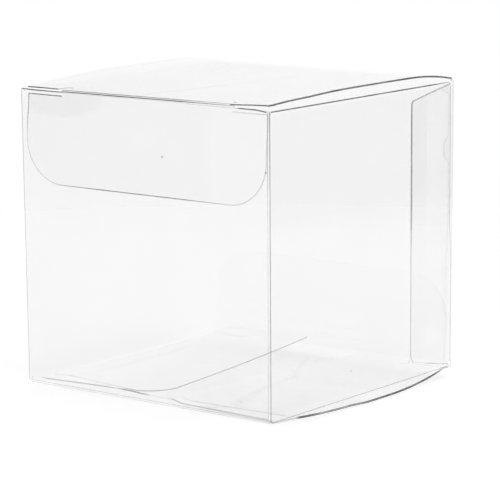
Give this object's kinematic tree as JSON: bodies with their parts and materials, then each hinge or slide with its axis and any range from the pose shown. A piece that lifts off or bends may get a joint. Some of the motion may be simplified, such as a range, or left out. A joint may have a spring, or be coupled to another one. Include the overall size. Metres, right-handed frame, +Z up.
{
  "type": "clear favor box",
  "caption": "Cube-shaped clear plastic favor box of one creased sheet, with a hinged tuck lid, a hinged tuck base, folding dust flaps and a glued side seam.",
  "frame": {"origin": "below the middle of the box, on the surface that it stands on", "axes": "+Z up, +X to the right as the front panel is seen, -Y towards the viewer in front of the front panel"},
  "size_m": [0.076, 0.076, 0.0786],
  "materials": {
    "clear_sheet": "clear glossy sheet, smooth on both faces",
    "clear_fold": "clear glossy sheet, stressed along the crease",
    "clear_glue": "clear cured glue"
  },
  "bodies": {
    "walls": {"front_panel": "clear_sheet", "right_panel": "clear_sheet", "back_panel": "clear_sheet", "left_panel": "clear_sheet", "corner_fold_front_left": "clear_fold", "corner_fold_front_right": "clear_fold", "corner_fold_back_left": "clear_fold", "seam_fold": "clear_fold", "glue_tab": "clear_sheet", "seam_glue": "clear_glue", "lid_fold": "clear_fold", "base_fold": "clear_fold", "top_fold_left": "clear_fold", "top_fold_right": "clear_fold", "bottom_fold_left": "clear_fold", "bottom_fold_right": "clear_fold"},
    "lid": {"lid_panel": "clear_sheet", "tuck_fold": "clear_fold"},
    "lid_tuck": {"tuck_flap": "clear_sheet"},
    "base": {"base_panel": "clear_sheet", "base_tuck_fold": "clear_fold"},
    "base_tuck": {"base_tuck_flap": "clear_sheet"},
    "top_left_flap": {"top_dust_flap_left": "clear_sheet"},
    "top_right_flap": {"top_dust_flap_right": "clear_sheet"},
    "bottom_left_flap": {"bottom_dust_flap_left": "clear_sheet"},
    "bottom_right_flap": {"bottom_dust_flap_right": "clear_sheet"}
  },
  "joints": [
    {"name": "lid_hinge", "type": "hinge", "parent": "walls", "child": "lid", "pos_m": [0, 0.03755, 0.0766], "axis": [-1, 0, 0], "range_deg": [0, 135]},
    {"name": "lid_tuck_hinge", "type": "hinge", "parent": "lid", "child": "lid_tuck", "pos_m": [0, -0.0363, 0.0764], "axis": [1, 0, 0], "range_deg": [0, 70]},
    {"name": "base_hinge", "type": "hinge", "parent": "walls", "child": "base", "pos_m": [0, -0.03755, 0.0028], "axis": [-1, 0, 0], "range_deg": [0, 135]},
    {"name": "base_tuck_hinge", "type": "hinge", "parent": "base", "child": "base_tuck", "pos_m": [0, 0.0363, 0.0029], "axis": [1, 0, 0], "range_deg": [0, 70]},
    {"name": "top_left_flap_hinge", "type": "hinge", "parent": "walls", "child": "top_left_flap", "pos_m": [-0.03755, 0, 0.0756], "axis": [0, 1, 0], "range_deg": [0, 75], "stiffness_Nm_per_rad": 0.0006, "springref_deg": -40.11},
    {"name": "top_right_flap_hinge", "type": "hinge", "parent": "walls", "child": "top_right_flap", "pos_m": [0.03755, 0, 0.0756], "axis": [0, -1, 0], "range_deg": [0, 75], "stiffness_Nm_per_rad": 0.0006, "springref_deg": -40.11},
    {"name": "bottom_left_flap_hinge", "type": "hinge", "parent": "walls", "child": "bottom_left_flap", "pos_m": [-0.03755, 0, 0.00345], "axis": [0, -1, 0], "range_deg": [0, 75], "stiffness_Nm_per_rad": 0.0006, "springref_deg": -40.11},
    {"name": "bottom_right_flap_hinge", "type": "hinge", "parent": "walls", "child": "bottom_right_flap", "pos_m": [0.03755, 0, 0.00345], "axis": [0, 1, 0], "range_deg": [0, 75], "stiffness_Nm_per_rad": 0.0006, "springref_deg": -40.11}
  ],
  "couplings": [
    {"joint": "lid_tuck_hinge", "follows": "lid_hinge", "ratio": 0.5},
    {"joint": "base_tuck_hinge", "follows": "base_hinge", "ratio": 0.5}
  ]
}
